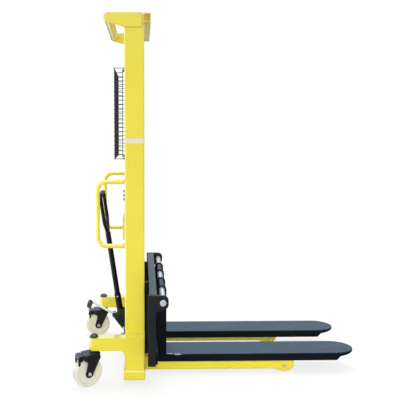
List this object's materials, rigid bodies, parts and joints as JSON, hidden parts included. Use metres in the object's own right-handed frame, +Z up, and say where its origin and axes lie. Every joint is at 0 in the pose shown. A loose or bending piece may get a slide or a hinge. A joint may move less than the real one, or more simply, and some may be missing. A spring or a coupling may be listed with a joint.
{
  "type": "manual hydraulic hand stacker",
  "caption": "Walk-behind hydraulic hand stacker: a channel mast on legs and casters lifts a carriage with two sliding forks by a pumped cylinder and chain.",
  "frame": {"origin": "on the floor, under the middle of the overall length and width", "axes": "+X toward the fork tips, +Y to the operator's left, +Z up"},
  "size_m": [1.6599, 0.912, 2.08],
  "materials": {
    "yellow_paint": "gloss powder coat",
    "black_paint": "satin powder coat",
    "caster_black": "satin black paint",
    "black_wire": "satin black coat",
    "bright_steel": "zinc plated",
    "plated_shaft": "hard chrome",
    "cylinder_paint": "satin paint",
    "pulley_iron": "turned casting",
    "chain_steel": "oiled steel",
    "white_nylon": "moulded nylon",
    "black_rubber": "moulded rubber",
    "black_plastic": "moulded cap"
  },
  "bodies": {
    "chassis": {"left_mast_channel": "yellow_paint", "right_mast_channel": "yellow_paint", "top_handle": "yellow_paint", "front_top_beam": "yellow_paint", "mid_cross_tie": "yellow_paint", "base_beam": "yellow_paint", "left_outrigger": "yellow_paint", "right_outrigger": "yellow_paint", "left_support_leg": "yellow_paint", "right_support_leg": "yellow_paint", "left_handle_loop": "yellow_paint", "right_handle_loop": "yellow_paint", "left_mesh_return": "black_wire", "right_mesh_return": "black_wire", "load_roller_axles": "bright_steel", "mesh_guard_panel": "black_wire", "mesh_guard_bolts": "bright_steel", "kingpin_caps": "black_plastic", "kingpin_bearings": "bright_steel", "lift_cylinder": "cylinder_paint", "cylinder_gland": "bright_steel", "rear_chain_anchor": "bright_steel", "lift_chain_rear_run": "chain_steel", "pump_body": "black_paint", "pump_pins": "bright_steel"},
    "carriage": {"carriage_top_bar": "black_paint", "carriage_lower_bar": "black_paint", "left_carriage_end_plate": "black_paint", "right_carriage_end_plate": "black_paint", "left_guide_plate": "black_paint", "right_guide_plate": "black_paint", "guide_roller_axles": "bright_steel", "fork_shaft": "plated_shaft", "front_chain_anchor": "bright_steel", "lift_chain_front_run": "chain_steel"},
    "lift_rod": {"piston_rod": "plated_shaft", "pulley_yoke": "black_paint", "lift_chain_wrap": "chain_steel"},
    "pulley": {"chain_pulley": "pulley_iron"},
    "handle": {"handle_socket": "black_paint", "pump_handle": "black_paint", "handle_grip": "black_rubber"},
    "pedal": {"foot_pedal_arm": "bright_steel", "foot_pedal_pad": "black_rubber"},
    "left_lower_guide_wheel": {"left_lower_guide_roller": "bright_steel"},
    "left_upper_guide_wheel": {"left_upper_guide_roller": "bright_steel"},
    "left_fork_arm": {"left_fork": "black_paint"},
    "left_load_wheel": {"left_load_roller": "white_nylon"},
    "left_caster": {"left_caster_fork": "caster_black", "left_caster_axle": "bright_steel"},
    "left_wheel": {"left_caster_wheel": "white_nylon"},
    "left_brake": {"left_caster_brake": "caster_black"},
    "right_lower_guide_wheel": {"right_lower_guide_roller": "bright_steel"},
    "right_upper_guide_wheel": {"right_upper_guide_roller": "bright_steel"},
    "right_fork_arm": {"right_fork": "black_paint"},
    "right_load_wheel": {"right_load_roller": "white_nylon"},
    "right_caster": {"right_caster_fork": "caster_black", "right_caster_axle": "bright_steel"},
    "right_wheel": {"right_caster_wheel": "white_nylon"},
    "right_brake": {"right_caster_brake": "caster_black"}
  },
  "joints": [
    {"name": "carriage_lift", "type": "slide", "parent": "chassis", "child": "carriage", "axis": [0, 0, 1], "range_m": [0, 1.47], "deforming": ["lift_chain_front_run"]},
    {"name": "rod_extend", "type": "slide", "parent": "chassis", "child": "lift_rod", "axis": [0, 0, 1], "range_m": [0, 0.735], "deforming": ["lift_chain_rear_run"]},
    {"name": "pulley_spin", "type": "hinge", "parent": "lift_rod", "child": "pulley", "pos_m": [-0.48321, 0, 1.085], "axis": [0, 1, 0], "range_deg": [-810, 0]},
    {"name": "pump_stroke", "type": "hinge", "parent": "chassis", "child": "handle", "pos_m": [-0.57721, 0, 0.297], "axis": [0, -1, 0], "range_deg": [0, 45], "stiffness_Nm_per_rad": 15, "springref_deg": -20.05},
    {"name": "pedal_press", "type": "hinge", "parent": "chassis", "child": "pedal", "pos_m": [-0.61321, 0, 0.272], "axis": [0, -1, 0], "range_deg": [0, 30], "stiffness_Nm_per_rad": 8, "springref_deg": -17.19},
    {"name": "left_lower_guide_roll", "type": "hinge", "parent": "carriage", "child": "left_lower_guide_wheel", "pos_m": [-0.47921, 0.254, 0.215], "axis": [0, 1, 0], "range_deg": [-1875, 0]},
    {"name": "left_upper_guide_roll", "type": "hinge", "parent": "carriage", "child": "left_upper_guide_wheel", "pos_m": [-0.47921, 0.254, 0.49], "axis": [0, 1, 0], "range_deg": [0, 1875]},
    {"name": "left_fork_slide", "type": "slide", "parent": "carriage", "child": "left_fork_arm", "axis": [0, 1, 0], "range_m": [-0.075, 0.195]},
    {"name": "left_load_roll", "type": "hinge", "parent": "chassis", "child": "left_load_wheel", "pos_m": [0.40579, 0.189, 0.037], "axis": [0, 1, 0], "continuous": true},
    {"name": "left_caster_swivel", "type": "hinge", "parent": "chassis", "child": "left_caster", "pos_m": [-0.70821, 0.329, 0.2], "axis": [0, 0, 1], "continuous": true},
    {"name": "left_wheel_spin", "type": "hinge", "parent": "left_caster", "child": "left_wheel", "pos_m": [-0.74734, 0.32068, 0.08], "axis": [0.2079, -0.9781, 0], "continuous": true},
    {"name": "left_brake_press", "type": "hinge", "parent": "left_caster", "child": "left_brake", "pos_m": [-0.7669, 0.31653, 0.167], "axis": [0.2079, -0.9781, 0], "range_deg": [0, 8]},
    {"name": "right_lower_guide_roll", "type": "hinge", "parent": "carriage", "child": "right_lower_guide_wheel", "pos_m": [-0.47921, -0.254, 0.215], "axis": [0, 1, 0], "range_deg": [-1875, 0]},
    {"name": "right_upper_guide_roll", "type": "hinge", "parent": "carriage", "child": "right_upper_guide_wheel", "pos_m": [-0.47921, -0.254, 0.49], "axis": [0, 1, 0], "range_deg": [0, 1875]},
    {"name": "right_fork_slide", "type": "slide", "parent": "carriage", "child": "right_fork_arm", "axis": [0, -1, 0], "range_m": [-0.075, 0.195]},
    {"name": "right_load_roll", "type": "hinge", "parent": "chassis", "child": "right_load_wheel", "pos_m": [0.40579, -0.189, 0.037], "axis": [0, 1, 0], "continuous": true},
    {"name": "right_caster_swivel", "type": "hinge", "parent": "chassis", "child": "right_caster", "pos_m": [-0.70821, -0.329, 0.2], "axis": [0, 0, 1], "continuous": true},
    {"name": "right_wheel_spin", "type": "hinge", "parent": "right_caster", "child": "right_wheel", "pos_m": [-0.74385, -0.34716, 0.08], "axis": [0.454, -0.891, 0], "continuous": true},
    {"name": "right_brake_press", "type": "hinge", "parent": "right_caster", "child": "right_brake", "pos_m": [-0.76167, -0.35624, 0.167], "axis": [0.454, -0.891, 0], "range_deg": [0, 8]}
  ],
  "couplings": [
    {"joint": "rod_extend", "follows": "carriage_lift", "ratio": 0.5},
    {"joint": "pulley_spin", "follows": "carriage_lift", "rad_per_m": -9.5785},
    {"joint": "left_lower_guide_roll", "follows": "carriage_lift", "rad_per_m": -22.222},
    {"joint": "left_upper_guide_roll", "follows": "carriage_lift", "rad_per_m": 22.222},
    {"joint": "right_lower_guide_roll", "follows": "carriage_lift", "rad_per_m": -22.222},
    {"joint": "right_upper_guide_roll", "follows": "carriage_lift", "rad_per_m": 22.222}
  ]
}
